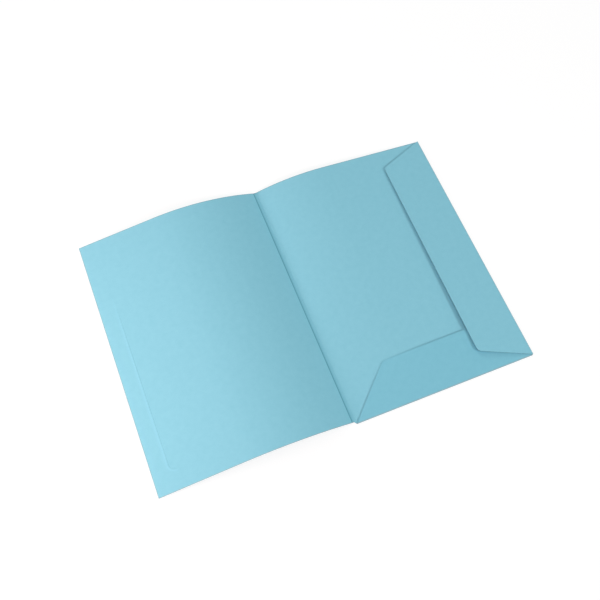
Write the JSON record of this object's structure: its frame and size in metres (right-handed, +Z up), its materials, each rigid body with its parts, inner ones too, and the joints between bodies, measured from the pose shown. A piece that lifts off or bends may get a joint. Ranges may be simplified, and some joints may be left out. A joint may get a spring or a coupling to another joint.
{
  "type": "presentation folder",
  "caption": "Creased card folder for A4 sheets, lying open: two covers on a narrow spine, with a side flap and a bottom flap folded in over the back cover to hold the sheets.",
  "frame": {"origin": "on the table the open folder lies on, under the middle of the spine strip's width and halfway between foot and head", "axes": "+X from the spine towards the back cover's fore edge and its side flap, +Y towards the head, +Z up from the table through the inside of the folder"},
  "size_m": [0.444, 0.3099, 0.0194],
  "materials": {
    "card": "uncoated light blue card, dyed through, about 0.4 mm and 300 g/m2, with cut edges a little darker"
  },
  "bodies": {
    "spine": {"spine_strip": "card"},
    "back_cover": {"back_cover": "card"},
    "front_bend_1": {"front_cover_bend_1": "card"},
    "front_bend_2": {"front_cover_bend_2": "card"},
    "front_bend_3": {"front_cover_bend_3": "card"},
    "front_bend_4": {"front_cover_bend_4": "card"},
    "front_panel": {"front_cover_panel": "card"},
    "side_flap": {"side_flap": "card"},
    "bottom_flap": {"bottom_flap": "card"}
  },
  "joints": [
    {"name": "front_cover_crease", "type": "hinge", "parent": "spine", "child": "front_bend_1", "pos_m": [-0.002, 0, 0.0004], "axis": [0, 1, 0], "range_deg": [0, 74.4]},
    {"name": "back_cover_crease", "type": "hinge", "parent": "spine", "child": "back_cover", "pos_m": [0.002, 0, 0.0004], "axis": [0, -1, 0], "range_deg": [0, 74.4]},
    {"name": "front_cover_flex_1", "type": "hinge", "parent": "front_bend_1", "child": "front_bend_2", "pos_m": [-0.03256, 0, 0.01119], "axis": [0, 1, 0], "range_deg": [0, 14.8]},
    {"name": "front_cover_flex_2", "type": "hinge", "parent": "front_bend_2", "child": "front_bend_3", "pos_m": [-0.06439, 0, 0.01756], "axis": [0, 1, 0], "range_deg": [0, 15.5]},
    {"name": "front_cover_flex_3", "type": "hinge", "parent": "front_bend_3", "child": "front_bend_4", "pos_m": [-0.09682, 0, 0.01919], "axis": [0, 1, 0], "range_deg": [0, 9.5]},
    {"name": "front_cover_flex_4", "type": "hinge", "parent": "front_bend_4", "child": "front_panel", "pos_m": [-0.12914, 0, 0.01603], "axis": [0, 1, 0], "range_deg": [0, 6.2]},
    {"name": "side_flap_crease", "type": "hinge", "parent": "back_cover", "child": "side_flap", "pos_m": [0.2233, 0, 0.001], "axis": [0, 1, 0], "range_deg": [0, 174.8]},
    {"name": "bottom_flap_crease", "type": "hinge", "parent": "back_cover", "child": "bottom_flap", "pos_m": [0.11265, -0.155, 0.0006], "axis": [1, 0, 0], "range_deg": [0, 177.2]}
  ],
  "couplings": [
    {"joint": "front_cover_flex_1", "follows": "front_cover_crease", "ratio": 0.198},
    {"joint": "front_cover_flex_2", "follows": "front_cover_crease", "ratio": 0.2075},
    {"joint": "front_cover_flex_3", "follows": "front_cover_crease", "ratio": 0.1273},
    {"joint": "front_cover_flex_4", "follows": "front_cover_crease", "ratio": 0.0827},
    {"joint": "bottom_flap_crease", "follows": "side_flap_crease", "ratio": 1.0137}
  ]
}
